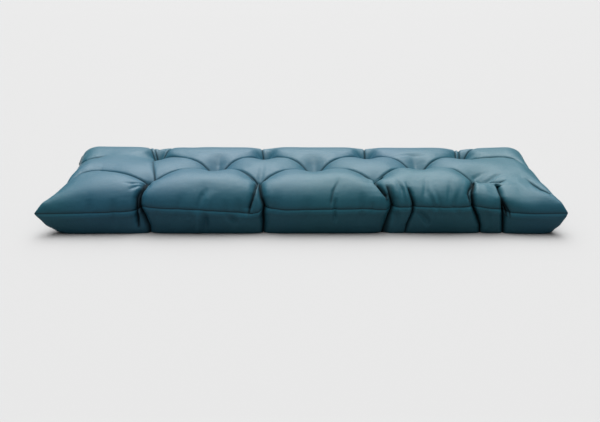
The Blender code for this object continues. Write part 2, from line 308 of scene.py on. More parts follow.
# Soft wrinkles and swells, which draw no dark line: points along each (x, y, depth), how wide
topWrinkles = (
    # ahead of the middle tufts
    ((
        (-0.262, 0.010, 0.010), (-0.262, -0.060, 0.010), (-0.262, -0.120, 0.006), (-0.262, -0.190, 0.000),
    ), 0.040),
    (((0.039, 0.010, 0.010), (0.039, -0.060, 0.010), (0.039, -0.120, 0.006), (0.039, -0.190, 0.000)), 0.040),
    (((0.356, 0.010, 0.010), (0.356, -0.060, 0.010), (0.356, -0.120, 0.006), (0.356, -0.190, 0.000)), 0.040),
    # under the back tufts
    (((-0.458, 0.144, 0.016), (-0.454, 0.080, 0.010), (-0.446, 0.000, 0.000)), 0.034),
    (((-0.115, 0.146, 0.016), (-0.115, 0.080, 0.010), (-0.115, -0.010, 0.000)), 0.030),
    (((0.206, 0.146, 0.016), (0.206, 0.080, 0.010), (0.206, -0.010, 0.000)), 0.030),
    (((0.516, 0.144, 0.018), (0.510, 0.080, 0.011), (0.500, 0.000, 0.000)), 0.036),
    # behind the middle tufts
    (((-0.260, 0.010, 0.012), (-0.260, 0.055, 0.012), (-0.260, 0.105, 0.000)), 0.026),
    (((0.040, 0.010, 0.012), (0.040, 0.055, 0.012), (0.040, 0.105, 0.000)), 0.026),
    (((0.358, 0.010, 0.012), (0.358, 0.055, 0.012), (0.358, 0.105, 0.000)), 0.026),
    # straight back from the middle and front tufts
    (((-0.258, 0.010, 0.006), (-0.258, 0.100, 0.000)), 0.009),
    (((0.358, 0.010, 0.006), (0.354, 0.100, 0.000)), 0.009),
    (((0.040, 0.010, 0.004), (0.046, 0.090, 0.000)), 0.009),
    (((-0.120, -0.130, 0.006), (-0.112, -0.020, 0.000)), 0.009),
    # beside the left cleft
    (((-0.510, -0.196, 0.000), (-0.480, -0.194, 0.0042), (-0.455, -0.178, 0.003)), 0.0050),
    (((-0.490, -0.228, 0.000), (-0.471, -0.208, 0.0045), (-0.453, -0.188, 0.003)), 0.0055),
    (((-0.436, -0.150, 0.003), (-0.434, -0.190, 0.0050), (-0.431, -0.224, 0.000)), 0.0050),
    # across the second puff
    (((-0.262, -0.222, 0.000), (-0.277, -0.250, 0.0040), (-0.287, -0.284, 0.0035)), 0.0085),
    (((-0.246, -0.232, 0.000), (-0.258, -0.262, -0.0030), (-0.262, -0.290, -0.002)), 0.0100),
    (((-0.176, -0.252, 0.000), (-0.174, -0.290, 0.0040)), 0.0100),
    (((-0.212, -0.258, 0.000), (-0.214, -0.290, 0.0025)), 0.0080),
    (((-0.330, -0.240, 0.000), (-0.345, -0.290, 0.0030)), 0.0120),
    # the first
    (((-0.527, -0.252, 0.000), (-0.527, -0.290, 0.0040)), 0.0110),
    (((-0.600, -0.252, 0.000), (-0.597, -0.284, 0.0035)), 0.0100),
    # the third
    (((0.098, -0.258, 0.000), (0.096, -0.276, 0.0050), (0.095, -0.292, 0.0065)), 0.0045),
    (((0.171, -0.240, 0.000), (0.171, -0.292, 0.0045)), 0.0090),
    (((0.199, -0.272, 0.000), (0.200, -0.292, 0.0040)), 0.0070),
    (((0.020, -0.250, 0.000), (0.016, -0.292, 0.0030)), 0.0120),
    (((-0.060, -0.225, 0.000), (-0.070, -0.285, 0.0030)), 0.0110),
    # the fourth
    (((0.262, -0.170, 0.000), (0.283, -0.232, 0.0045), (0.290, -0.291, 0.002)), 0.0080),
    (((0.288, -0.190, 0.000), (0.297, -0.245, -0.0035), (0.303, -0.291, -0.002)), 0.0070),
    (((0.358, -0.170, 0.000), (0.350, -0.235, 0.0040), (0.342, -0.291, 0.0020)), 0.0080),
    (((0.350, -0.215, 0.000), (0.372, -0.291, 0.0040)), 0.0075),
    (((0.372, -0.215, 0.000), (0.390, -0.291, 0.0040)), 0.0070),
    (((0.364, -0.215, 0.000), (0.380, -0.282, -0.0025)), 0.0060),
    (((0.424, -0.185, 0.000), (0.418, -0.245, 0.0035), (0.414, -0.291, 0.0015)), 0.0070),
    (((0.452, -0.215, 0.000), (0.431, -0.291, 0.0040)), 0.0080),
    # the right end
    (((0.514, -0.170, 0.004), (0.545, -0.136, 0.0045), (0.592, -0.104, 0.000)), 0.0070),
    (((0.512, -0.110, 0.004), (0.545, -0.094, 0.000)), 0.0060),
    (((0.522, -0.140, 0.004), (0.570, -0.120, 0.003), (0.630, -0.100, 0.000)), 0.0070),
    # along the back puffs
    (((-0.370, 0.100, 0.000), (-0.300, 0.112, 0.0018), (-0.220, 0.112, 0.000)), 0.0060),
    (((0.262, 0.070, 0.000), (0.334, 0.092, 0.0020), (0.410, 0.084, 0.000)), 0.0060),
    (((-0.050, 0.100, 0.000), (0.030, 0.112, 0.0018), (0.120, 0.106, 0.000)), 0.0060),
)
baseWrinkles = (
    (((-0.269, -0.289, 0.0040), (-0.266, -0.268, 0.0045), (-0.265, -0.244, 0.000)), 0.0080),
    (((-0.290, -0.289, -0.003), (-0.290, -0.262, -0.003), (-0.288, -0.240, 0.000)), 0.0090),
    (((-0.206, -0.290, 0.0045), (-0.191, -0.281, 0.0045), (-0.172, -0.272, 0.000)), 0.0065),
    (((-0.403, -0.288, 0.0040), (-0.402, -0.274, 0.000)), 0.0080),
    (((-0.315, -0.290, 0.0040), (-0.315, -0.276, 0.000)), 0.0070),
    (((-0.345, -0.290, 0.0030), (-0.352, -0.255, 0.000)), 0.0110),
    (((-0.527, -0.290, 0.0040), (-0.528, -0.260, 0.000)), 0.0110),
    (((0.095, -0.292, 0.0065), (0.095, -0.284, 0.0050), (0.094, -0.268, 0.000)), 0.0045),
    (((0.171, -0.292, 0.0045), (0.168, -0.262, 0.000)), 0.0090),
    (((0.016, -0.292, 0.0030), (0.012, -0.256, 0.000)), 0.0120),
    (((0.326, -0.290, 0.0040), (0.354, -0.271, 0.0045), (0.366, -0.258, 0.000)), 0.0065),
    (((0.356, -0.290, 0.0040), (0.373, -0.279, 0.000)), 0.0060),
    (((0.392, -0.290, 0.0035), (0.390, -0.272, 0.000)), 0.0065),
    (((0.445, -0.290, 0.0040), (0.449, -0.272, 0.000)), 0.0065),
    (((0.270, -0.288, 0.0040), (0.266, -0.262, 0.003), (0.258, -0.236, 0.000)), 0.0100),
    (((0.528, -0.288, 0.0030), (0.530, -0.250, 0.000)), 0.0120),
)

# How round the bottoms of hollows and folds are
rounding = {"tuft": 0.006, "crease": 0.0012, "cleft": 0.0012}
wall = {"share": 0.32, "reach": 0.006}  # the part of a crease's far side that rises at once

# The painted shade along the bottom of a fold: a dark line painted into the cloth's colour
paintedShadeLine = {
    "crease": 0.0021,  # half its width
    "cleft": 0.0032,
    "from": 0.010,  # the depth at which a fold has its full line
    "wideFrom": 0.019,  # a deeper fold's line is wider,
    "wideBand": 0.010,  # by its own width for each such step in depth,
    "widest": 0.024,  # up to this depth in a cleft
    "spread": (1.0, 0.45),  # in the open and in the hollow round a tuft, where less is a thicker line
    "spreadAt": 0.030,  # how deep such a hollow is
}

# Clefts over the long sides. Each is a row of (fabric from the seam, x, depth), up over the top panel
# where that is above 0 and down the bottom one where it is below, with its reach left and right
frontClefts = (
    ("C1 outer", (
        (0.158, -0.444, 0.014), (0.080, -0.452, 0.044), (0.041, -0.462, 0.046), (0.000, -0.463, 0.046),
        (-0.012, -0.460, 0.040), (-0.034, -0.457, 0.000),
    ), 0.026, 0.006),
    ("C1 inner", (
        (0.158, -0.440, 0.014), (0.084, -0.445, 0.041), (0.060, -0.452, 0.043), (0.041, -0.4555, 0.044),
        (0.000, -0.456, 0.046), (-0.012, -0.446, 0.041), (-0.036, -0.428, 0.027), (-0.090, -0.420, 0.011),
    ), 0.008, 0.034),
    ("C2 left", (
        (0.158, -0.124, 0.014), (0.089, -0.128, 0.035), (0.062, -0.132, 0.024), (0.032, -0.138, 0.022),
        (0.012, -0.144, 0.020), (0.000, -0.147, 0.006), (-0.010, -0.148, 0.000),
    ), 0.034, 0.012),
    ("C2 right", (
        (0.158, -0.120, 0.014), (0.073, -0.116, 0.035), (0.039, -0.112, 0.035), (0.012, -0.106, 0.041),
        (0.000, -0.104, 0.043), (-0.010, -0.107, 0.041), (-0.027, -0.103, 0.030), (-0.090, -0.100, 0.011),
    ), 0.018, 0.034),
    ("S1", (
        (0.112, 0.110, 0.000), (0.086, 0.103, 0.003), (0.056, 0.090, 0.005), (0.020, 0.084, 0.005),
        (0.000, 0.082, 0.000),
    ), 0.012, 0.024),
    ("C3 upper", (
        (0.158, 0.210, 0.014), (0.091, 0.213, 0.035), (0.062, 0.226, 0.032), (0.042, 0.236, 0.024),
        (0.030, 0.242, 0.008), (0.018, 0.244, 0.000),
    ), 0.013, 0.040),
    ("C3 within", (
        (0.110, 0.212, 0.000), (0.091, 0.2165, 0.034), (0.062, 0.2295, 0.034), (0.045, 0.239, 0.024),
        (0.034, 0.243, 0.000),
    ), 0.010, 0.010),
    ("C3 lower", (
        (0.090, 0.240, 0.000), (0.060, 0.247, 0.016), (0.027, 0.254, 0.038), (0.000, 0.258, 0.046),
        (-0.007, 0.253, 0.043), (-0.018, 0.247, 0.038), (-0.036, 0.238, 0.024), (-0.065, 0.228, 0.014),
        (-0.090, 0.221, 0.008),
    ), 0.040, 0.034),
    ("F3 fold", (
        (0.096, 0.296, 0.000), (0.074, 0.301, 0.004), (0.062, 0.304, 0.012), (0.048, 0.307, 0.020),
        (0.008, 0.315, 0.027), (0.000, 0.316, 0.027), (-0.010, 0.314, 0.021), (-0.032, 0.301, 0.015),
        (-0.070, 0.292, 0.000),
    ), 0.014, 0.022),
    ("C4 upper", (
        (0.158, 0.500, 0.014), (0.085, 0.485, 0.027), (0.060, 0.474, 0.019), (0.042, 0.470, 0.016),
        (0.023, 0.473, 0.014), (0.005, 0.477, 0.000),
    ), 0.030, 0.008),
    ("C4 lower", (
        (0.110, 0.494, 0.024), (0.052, 0.483, 0.035), (0.028, 0.483, 0.041), (0.000, 0.485, 0.046),
        (-0.006, 0.489, 0.043), (-0.018, 0.498, 0.038), (-0.036, 0.508, 0.022), (-0.090, 0.514, 0.008),
    ), 0.020, 0.020),
    ("C5 shadow", (
        (0.060, 0.562, 0.000), (0.030, 0.566, 0.022), (0.006, 0.569, 0.041), (0.000, 0.570, 0.043),
        (-0.010, 0.572, 0.041), (-0.036, 0.575, 0.024), (-0.090, 0.578, 0.005),
    ), 0.022, 0.018),
    ("C5 within", (
        (0.052, 0.565, 0.000), (0.030, 0.569, 0.030), (0.010, 0.575, 0.038), (0.000, 0.579, 0.034),
        (-0.010, 0.580, 0.000),
    ), 0.014, 0.014),
    ("C5 edge", (
        (0.110, 0.560, 0.024), (0.076, 0.562, 0.032), (0.055, 0.564, 0.028), (0.031, 0.570, 0.024),
        (0.008, 0.582, 0.019), (0.000, 0.588, 0.011), (-0.012, 0.590, 0.000),
    ), 0.010, 0.030),
)
backClefts = (
    ("B1", (
        (0.142, -0.462, 0.000), (0.060, -0.462, 0.010), (0.000, -0.458, 0.026), (-0.036, -0.458, 0.016),
        (-0.090, -0.458, 0.004),
    ), 0.040, 0.040),
    ("B2", (
        (0.142, -0.115, 0.000), (0.060, -0.134, 0.005), (0.000, -0.136, 0.022), (-0.036, -0.134, 0.016),
        (-0.090, -0.132, 0.004),
    ), 0.034, 0.040),
    ("B3", (
        (0.142, 0.206, 0.000), (0.060, 0.208, 0.003), (0.000, 0.204, 0.022), (-0.036, 0.204, 0.016),
        (-0.090, 0.204, 0.004),
    ), 0.040, 0.034),
    ("B4", (
        (0.142, 0.514, 0.000), (0.060, 0.512, 0.010), (0.000, 0.508, 0.026), (-0.036, 0.508, 0.016),
        (-0.090, 0.508, 0.004),
    ), 0.040, 0.040),
)
clefts = {
    "draw": 0.006,  # how far the cloth beside a cleft is drawn in,
    "drawDepth": 0.030,  # where the cleft is this deep
    "drawReach": 0.070,
    "endBand": 0.012,  # a cleft's upper end fades out over this length
    "warpReach": 0.055,  # the grid moves with a cleft this far to each side
    "warpFrom": 0.050,  # and from this far behind the middle
    "letGo": 0.030,  # past a cleft's ends the grid goes back over this length
    "heldFrom": 0.999,  # a cleft that holds the grid this much also moves the free columns beside it
}

halfX = shape["length"] / 2 + shape["edgeBand"] - shape["edgePlan"]
halfY = shape["depth"] / 2 + shape["edgeBand"] - shape["edgePlan"]
tiny = 0.0002  # keeps a division away from 0
farAway = 9.0  # further than any place on the cushion


def ease(x):  # 0 to 1 with level ends
    x = np.clip(x, 0.0, 1.0)
    return x * x * (3.0 - 2.0 * x)


def closeness(distance, reach, bottom):  # 1 on a fold's line, 0 at its reach, with the round cheeks of two puffs
    distance = np.hypot(distance, bottom) - bottom
    away = 1.0 - np.clip(distance / reach, 0.0, 1.0)
    return 1.0 - np.sqrt(np.clip(1.0 - away * away, 0.0, 1.0))


def shadow(distance, depth, width):  # how dark the painted shade at the bottom of a fold is
    width = width * (1 + np.maximum(depth - paintedShadeLine["wideFrom"], 0.0) / paintedShadeLine["wideBand"])
    return np.exp(-((distance / width) ** 2)) * ease(depth / paintedShadeLine["from"])


def rollOver(fromSeam, roll):  # inset, rise and turn of the cloth at a distance from the seam
    fabric, size, power, swell = roll
    turn = np.clip(fromSeam / fabric, 0.0, 1.0) * np.pi / 2
    inset = size * (1.0 - np.abs(np.cos(turn)) ** power) - swell * np.sin(2 * turn)
    flat = np.clip(fromSeam - fabric, 0.0, shape["edgeBand"] - fabric)
    stretch = (shape["edgePlan"] - size) / max(shape["edgeBand"] - fabric, tiny)
    inset = inset + flat * stretch + np.maximum(fromSeam - shape["edgeBand"], 0.0)
    return inset, np.sin(turn) ** power, turn


def seamHeight(x, y, table):
    front = np.interp(x, [row[0] for row in table], [row[1] for row in table])
    ear = (np.abs(x) / (shape["length"] / 2)) ** shape["sideEar"]
    rear = shape["backSeam"] + shape["backEarRise"] * ear
    return front + (rear - front) * ease(y / shape["depth"] + 0.5)


def plumpness(x, y):
    higher = np.zeros_like(x)
    for puffX, puffY, up, reach in puffs:
        higher += up * np.exp(-((x - puffX) ** 2 + (y - puffY) ** 2) / reach**2)
    return higher


def envelope(fx, fy, onTop):  # the panel without folds, and the way that it faces
    rolls = topRolls if onTop else baseRolls
    fromEnd, fromSide = halfX - np.abs(fx), halfY - np.abs(fy)
    left, right = (np.stack(rollOver(fromEnd, rolls[end])) for end in ("left", "right"))
    insetX, riseX, turnX = np.where(fx < 0, left, right)
    insetY, riseY, turnY = rollOver(fromSide, rolls["side"])
    fabric = (0.0, shape["edgeBand"], shape["length"])
    plan = (0.0, shape["edgePlan"], shape["length"] - shape["edgeBand"] + shape["edgePlan"])
    seamX, seamY = np.interp(fromEnd, fabric, plan), np.interp(fromSide, fabric, plan)
    insetX = seamX + (insetX - seamX) * riseY
    insetY = seamY + (insetY - seamY) * riseX

    endEar = (np.abs(fy) / halfY) ** shape["endEar"]
    sideEar = (np.abs(fx) / halfX) ** shape["sideEar"]
    back = ease(fy / halfY / 2 + 0.5)
    leftDraw, rightDraw = (
        front + (rear - front) * back for front, rear in (shape["leftDraw"], shape["rightDraw"])
    )
    out = shape["length"] / 2 - insetX  # from the middle of the cushion
    drawn = np.where(fx < 0, leftDraw, rightDraw) * (1 - endEar)
    drawn = drawn * ease((out - shape["drawFrom"]) / (shape["drawTo"] - shape["drawFrom"]))
    x = np.sign(fx) * (out - drawn)
    y = np.sign(fy) * (shape["depth"] / 2 - insetY)
    y = y * (1 - shape["sideDraw"] * (1 - sideEar) / (shape["depth"] / 2))

    steep = np.maximum(riseX, tiny) ** -2 + np.maximum(riseY, tiny) ** -2 - 1
    ear = ((1 - riseX) * (1 - riseY)) ** shape["earPower"] * ease(np.sqrt(riseX * riseY) / shape["earTip"])
    bluntness = 0.5 - shape["earBluntness"] * ear
    rise = np.where(np.minimum(riseX, riseY) < tiny, 0.0, steep**-bluntness)
    full = -shape["belly"]
    if onTop:
        full = shape["crown"] + shape["backLift"] * ease(y / (shape["depth"] / 2)) + plumpness(x, y)
    level = seamHeight(x, y, frontLevel)
    z = level + (seamHeight(x, y, frontSeam) - level) * (1 - rise) + full * rise

    own = ease(np.minimum(fromEnd, fromSide) / shape["sewnBand"])
    sewnX, sewnY = (np.clip(d / shape["edgeBand"], 0.0, 1.0) * np.pi / 2 for d in (fromEnd, fromSide))
    turnX, turnY = sewnX + (turnX - sewnX) * own, sewnY + (turnY - sewnY) * own
    up = np.sin(np.minimum(turnX, turnY)) * (1 if onTop else -1)
    facing = np.stack((np.sign(fx) * np.cos(turnX), np.sign(fy) * np.cos(turnY), up), -1)
    facing /= np.maximum(np.linalg.norm(facing, axis=-1, keepdims=True), tiny)
    return np.stack((x, y, z), -1), facing


def legsOf(points):  # the straight legs of a fold's path
    return list(zip(points, points[1:]))


def nearestOn(fx, fy, legs):  # how far off the nearest leg is, its depth there, and above 0 to the left of its way
    distance, deep, leftOf = np.full_like(fx, farAway), np.zeros_like(fx), np.zeros_like(fx)
    for (x0, y0, d0), (x1, y1, d1) in legs:
        dx, dy = x1 - x0, y1 - y0
        share = np.clip(((fx - x0) * dx + (fy - y0) * dy) / (dx * dx + dy * dy), 0.0, 1.0)
        away = np.hypot(fx - x0 - share * dx, fy - y0 - share * dy)
        closer = away < distance
        deep = np.where(closer, d0 + (d1 - d0) * share, deep)
        leftOf = np.where(closer, dx * (fy - y0) - dy * (fx - x0), leftOf)
        distance = np.minimum(away, distance)
    return distance, deep, leftOf


def foldDepth(fx, fy, points, left, right):  # how deep a fold is, with its reach to each side, and the painted shade along its bottom
    distance, deep, leftOf = nearestOn(fx, fy, legsOf(points))
    bottom = rounding["crease"]
    atOnce, slowly = (closeness(distance, reach, bottom) for reach in (wall["reach"], left))
    farSide = wall["share"] * atOnce + (1 - wall["share"]) * slowly
    depth = deep * np.where(leftOf > 0, farSide, closeness(distance, right, bottom))
    return depth, shadow(distance, deep, paintedShadeLine["crease"])


def diamondFolds():  # the paths of the creases from each middle tuft
    folds = []
    start, middle, end = diamonds["depth"]
    steps = np.linspace(0.0, 1.0, 9)
    for row in ("front", "back"):
        for x, y, _, _, _ in tufts["middle"]:
            for side in (-1, 1):
                nextX, nextY = min(
                    ((t[0], t[1]) for t in tufts[row] if (t[0] - x) * side > 0),
                    key=lambda t: abs(t[0] - x),
                )
                points = []
                for s in steps:
                    edge = start if s < 0.5 else end
                    depth = middle + (edge - middle) * abs(2 * s - 1) ** diamonds["fade"]
                    points.append((x + (nextX - x) * s, y + (nextY - y) * s, depth))
                if side < 0:  # each runs from left to right, so that its left is the far side
                    points.reverse()
                folds.append(points)
    return folds


def wrinkleDepth(fx, fy, table):
    depth = np.zeros_like(fx)
    for points, width in table:
        distance, deep, _ = nearestOn(fx, fy, legsOf(points))
        depth += deep * np.exp(-((distance / width) ** 2))
    return depth


def hollowDepth(fx, fy):  # the wide hollows that the tufts draw in
    depth = np.zeros_like(fx)
    for row in tufts.values():
        for x, y, deep, ahead, behind in row:
            reach = ahead + (behind - ahead) * ease((fy - y) / hollowTurn["band"] + hollowTurn["at"])
            depth += (deep * closeness(np.hypot(fx - x, fy - y), reach, rounding["tuft"])) ** shape["sharpest"]
    return depth ** (1 / shape["sharpest"])


def creaseDepth(fx, fy):  # all creases of the top together, and the painted shade along them
    total, dark = np.zeros_like(fx), np.zeros_like(fx)
    folds = [(points, diamonds["far"], diamonds["near"]) for points in diamondFolds()]
    for points, left, right in folds + [fold[1:] for fold in topFolds]:
        depth, line = foldDepth(fx, fy, points, left, right)
        total += depth ** shape["sharpest"]
        dark = np.maximum(dark, line)
    return total ** (1 / shape["sharpest"]), dark


def cleftPath(rows, fromSeam):  # a cleft's x and depth at a distance from the seam, and where it starts and ends
    rows = sorted(rows)
    line, deep = (np.interp(fromSeam, [r[0] for r in rows], [r[i] for r in rows]) for i in (1, 2))
    return line, deep, rows[0][0], rows[-1][0]


def cleftDepth(fx, fromSeam, table):
    depth, dark = np.zeros_like(fx), np.zeros_like(fx)
    power, fade = shape["sharpest"], clefts["endBand"]
    for _, rows, left, right in table:
        line, deep, _, end = cleftPath(rows, fromSeam)
        deep = deep * ease((end + fade - fromSeam) / fade)
        reach = np.where(fx < line, left, right)
        away = np.abs(fx - line)
        draw = clefts["draw"] * (deep / clefts["drawDepth"]) * np.exp(-((away / clefts["drawReach"] * 2) ** 2))
        depth += (deep * closeness(away, reach, rounding["cleft"])) ** power + draw**power
        # painted shade: a dark line painted along the bottom of the cleft
        dark = 1 - (1 - dark) * (1 - shadow(away, np.minimum(deep, paintedShadeLine["widest"]), paintedShadeLine["cleft"]))
    return depth ** (1 / power), dark


def warped(fx, fy, onTop):  # lays whole columns of the grid along the clefts, so that they stay crisp
    result = fx.copy()
    margin = clefts["warpFrom"]
    for table, side in ((frontClefts, -1), (backClefts, 1)):
        for i in range(fx.shape[0]):
            if fy[i, 0] * side < -margin:
                continue
            fromSeam = (halfY - abs(fy[i, 0])) * (1 if onTop else -1)
            fade = float(ease((fy[i, 0] * side + margin) / margin))
            lines = []  # home column, place at this row, how much the cleft holds the grid here
            for _, rows, _, _ in table:
                line, _, start, end = cleftPath(rows, fromSeam)
                home = cleftPath(rows, 0.0)[0]
                home = fx[i, np.abs(fx[i] - home).argmin()]
                past = max(start - fromSeam, fromSeam - end, 0.0)
                lines.append((home, line, float(1 - ease(past / clefts["letGo"]))))
            lines.sort()
            held = [(home, line - home) for home, line, hold in lines if hold > clefts["heldFrom"]]
            anchors = []
            for home, line, hold in lines:
                free = np.interp(home, *stretched(held))
                anchors.append((home, (line - home) * hold + free * (1 - hold)))
            result[i] += np.interp(fx[i], *stretched(anchors)) * fade
    return result


def stretched(anchors):  # the shift along a row, easing off to nothing away from its anchors
    reach = clefts["warpReach"]
    xs, shifts = [-farAway], [0.0]
    for home, shift in anchors:
        if home - reach > xs[-1]:
            if len(xs) > 1 and xs[-1] + reach < home - reach:
                xs.append(xs[-1] + reach)
                shifts.append(0.0)
            xs.append(home - reach)
            shifts.append(0.0)
        xs.append(home)
        shifts.append(shift)
    return xs + [xs[-1] + reach, farAway], shifts + [0.0, 0.0]


def panelPlaces(fx, fy, onTop):  # every point of a panel, with its folds, tufts and seam, and the painted shade along its folds
    place, facing = envelope(fx, fy, onTop)
    fromSeam = (halfY - np.abs(fy)) * (1 if onTop else -1)
    inFront, inFrontDark = cleftDepth(fx, fromSeam, frontClefts)
    behind, behindDark = cleftDepth(fx, fromSeam, backClefts)
    depth, dark = np.where(fy < 0, inFront, behind), np.where(fy < 0, inFrontDark, behindDark)
    edge = np.minimum(halfX - np.abs(fx), halfY - np.abs(fy))
    if onTop:
        creases, creaseDark = creaseDepth(fx, fy)
        hollows = hollowDepth(fx, fy)
        depth += (hollows + creases) * ease(edge / shape["topFade"])
        # painted shade along the creases, drawn thicker in a tuft's hollow
        thin, thick = paintedShadeLine["spread"]
        spread = thin + (thick - thin) * ease(hollows / paintedShadeLine["spreadAt"])
        dark = np.maximum(dark, creaseDark**spread)
    else:
        depth += hollowDepth(fx, fy) * ease(edge / shape["baseFade"]) * shape["baseHollows"]
    wrinkles = wrinkleDepth(fx, fy, topWrinkles)
    if not onTop:  # both panels have the same ones where they are sewn
        share = ease(edge / shape["wrinkleFade"])
        own = shape["baseWrinkling"] * wrinkleDepth(fx, fy, baseWrinkles)
        wrinkles = wrinkles * (1 - share) + own * share
    depth += wrinkles
    depth = shape["deepest"] * np.tanh(depth / shape["deepest"])
    groove = shape["channelDepth"] * np.exp(-edge / shape["channelWidth"])
    if not onTop:
        groove -= shape["lip"] * np.exp(-(((edge - shape["lipAt"]) / shape["lipWidth"]) ** 2))
    place = place - facing * (depth + groove)[..., None]
    if not onTop:  # the base lies flat on the floor
        z, blend = place[..., 2], shape["floorBlend"]
        soft = (z + blend) ** 2 / (4 * blend)
        place[..., 2] = np.where(z > blend, z, np.where(z < -blend, 0.0, soft))
    return place, dark, edge * (1 if onTop else -1)


def fabricGrid(columns, rows, onTop):  # where a panel's points lie on the flat cloth
    angle = shape["crowding"]
    across, along = (np.sin(np.linspace(-angle, angle, n + 1)) / np.sin(angle) for n in (columns, rows))
    fx, fy = np.meshgrid(across * halfX, along * halfY)
    return warped(fx, fy, onTop), fy


# Two grids of cloth, shaped and sewn together along their edges, with the cloth's own metres as UVs
def sewnPanels(name, columns, rows, shifts=None):
    parts = []
    for onTop in (True, False):
        fx, fy = fabricGrid(columns, rows, onTop)
        places, dark, edge = panelPlaces(fx, fy, onTop)
        if shifts is not None:
            places = places + shifts[onTop].reshape(places.shape)
        panel = bmesh.new()
        bmesh.ops.create_grid(panel, x_segments=columns, y_segments=rows, size=1.0)
        spots = panel.verts.layers.int.new("spot")
        # painted shade along folds and clefts, read by the cloth's colour
        crease = panel.verts.layers.float.new("crease")
        seam = panel.verts.layers.float.new("seam")
        cloth = panel.loops.layers.uv.new("cloth")
        flat, dark, edge = places.reshape(-1, 3), dark.ravel(), edge.ravel()
        uvs = np.stack((fx.ravel(), fy.ravel() * (1 if onTop else -1) + (0 if onTop else 1)), -1)
        for i, vertex in enumerate(panel.verts):
            vertex.co = flat[i]
            vertex[spots] = i + (0 if onTop else len(flat))
            vertex[crease] = dark[i]
            vertex[seam] = edge[i]
        for face in panel.faces:
            face.smooth = True
            for loop in face.loops:
                loop[cloth].uv = uvs[loop.vert.index]
        for corner in [v for v in panel.verts if len(v.link_edges) == 2]:  # the ears' squares are cut in two
            inner = max(corner.link_faces[0].verts, key=lambda v: len(v.link_edges))
            bmesh.ops.connect_verts(panel, verts=[corner, inner])
        if not onTop:
            bmesh.ops.reverse_faces(panel, faces=panel.faces)
        part = bpy.data.meshes.new("panel")
        panel.to_mesh(part)
        panel.free()
        parts.append(part)
    whole = bmesh.new()
    for part in parts:
        whole.from_mesh(part)
        bpy.data.meshes.remove(part)
    edges = [v for v in whole.verts if v.is_boundary]
    bmesh.ops.remove_doubles(whole, verts=edges, dist=shape["sewnWithin"])
    mesh = bpy.data.meshes.new(name)
    whole.to_mesh(mesh)
    whole.free()
    cushion = bpy.data.objects.new(name, mesh)
    scene.collection.objects.link(cushion)
    return cushion


# The filling pushes the sewn cloth out between its tufts and folds
filling = {
    "halvings": 2,  # times that the cloth's rows and columns are halved for this
    "pressure": 4.0,
    "steps": 20,
    "quality": 6,
    "clothMass": 0.2,
    "spareCloth": 0.004,  # cut this much wider than the shape it fills, so that it wrinkles
    "stiffness": 15.0,
    "shearing": 5.0,
    "bending": 6.0,
    "most": 0.007,  # how far a point may move
    "softened": 3,  # times that its movement is evened out
    "holdingDepth": 0.007,  # folds and clefts from this depth on hold the cloth,
    "foldHold": 0.035,  # less and less up to this far away
    "pinned": 0.9,
    "lying": 0.003,  # cloth below this height lies on the floor and stays
}


def filled(settings):  # how far the cloth moves from its first shape, on each panel's own grid
    coarser = 2 ** settings["halvings"]
    columns, rows = shape["columns"] // coarser, shape["rows"] // coarser
    bag = sewnPanels("cloth_bag", columns, rows)
    spots = np.array([v.value for v in bag.data.attributes["spot"].data])
    first = np.array([v.co for v in bag.data.vertices])
    free = [freedom(*fabricGrid(columns, rows, onTop), onTop).ravel() for onTop in (True, False)]
    free = np.where(first[:, 2] < settings["lying"], 0.0, np.concatenate(free)[spots])
    pins = bag.vertex_groups.new(name="pins")
    for i, share in enumerate(free):
        pins.add([i], 1.0 - float(share) * settings["pinned"], "REPLACE")
    cloth = bag.modifiers.new("cloth", "CLOTH")
    kit = cloth.settings
    kit.quality = settings["quality"]
    kit.mass = settings["clothMass"]
    kit.tension_stiffness = kit.compression_stiffness = settings["stiffness"]
    kit.shear_stiffness = settings["shearing"]
    kit.bending_stiffness = settings["bending"]
    kit.shrink_min = -settings["spareCloth"]
    kit.use_pressure = True
    kit.uniform_pressure_force = settings["pressure"]
    kit.effector_weights.gravity = 0
    kit.vertex_group_mass = "pins"
    kit.pin_stiffness = 1.0
    cloth.collision_settings.use_collision = False
    cloth.point_cache.frame_end = settings["steps"]
    for frameNumber in range(1, settings["steps"] + 1):
        scene.frame_set(frameNumber)
    shaped = bag.evaluated_get(bpy.context.evaluated_depsgraph_get()).to_mesh()
    moved = np.array([v.co for v in shaped.vertices]) - first
    length = np.maximum(np.linalg.norm(moved, axis=1, keepdims=True), 1e-9)
    print("cloth moved by", round(float(length.mean()), 4), "on average, at most", round(float(length.max()), 4))
    moved *= settings["most"] * np.tanh(length / settings["most"]) / length
    scene.frame_set(1)
    bpy.data.objects.remove(bag)
    shifts = np.zeros((2 * (columns + 1) * (rows + 1), 3))
    shifts[spots] = moved
    top, base = shifts.reshape(2, rows + 1, columns + 1, 3)
    every = slice(None)
    for edge in ((0, every), (-1, every), (every, 0), (every, -1)):  # both panels share the seam's movement
        shared = np.where(np.abs(top[edge]).sum(-1, keepdims=True) > 0, top[edge], base[edge])
        top[edge] = base[edge] = shared
    for panel in (top, base):
        for _ in range(settings["softened"]):
            panel[1:-1] = (panel[:-2] + 2 * panel[1:-1] + panel[2:]) / 4
            panel[:, 1:-1] = (panel[:, :-2] + 2 * panel[:, 1:-1] + panel[:, 2:]) / 4
    for _ in range(settings["halvings"]):
        top, base = finer(top), finer(base)
    return {True: top.reshape(-1, 3), False: base.reshape(-1, 3)}


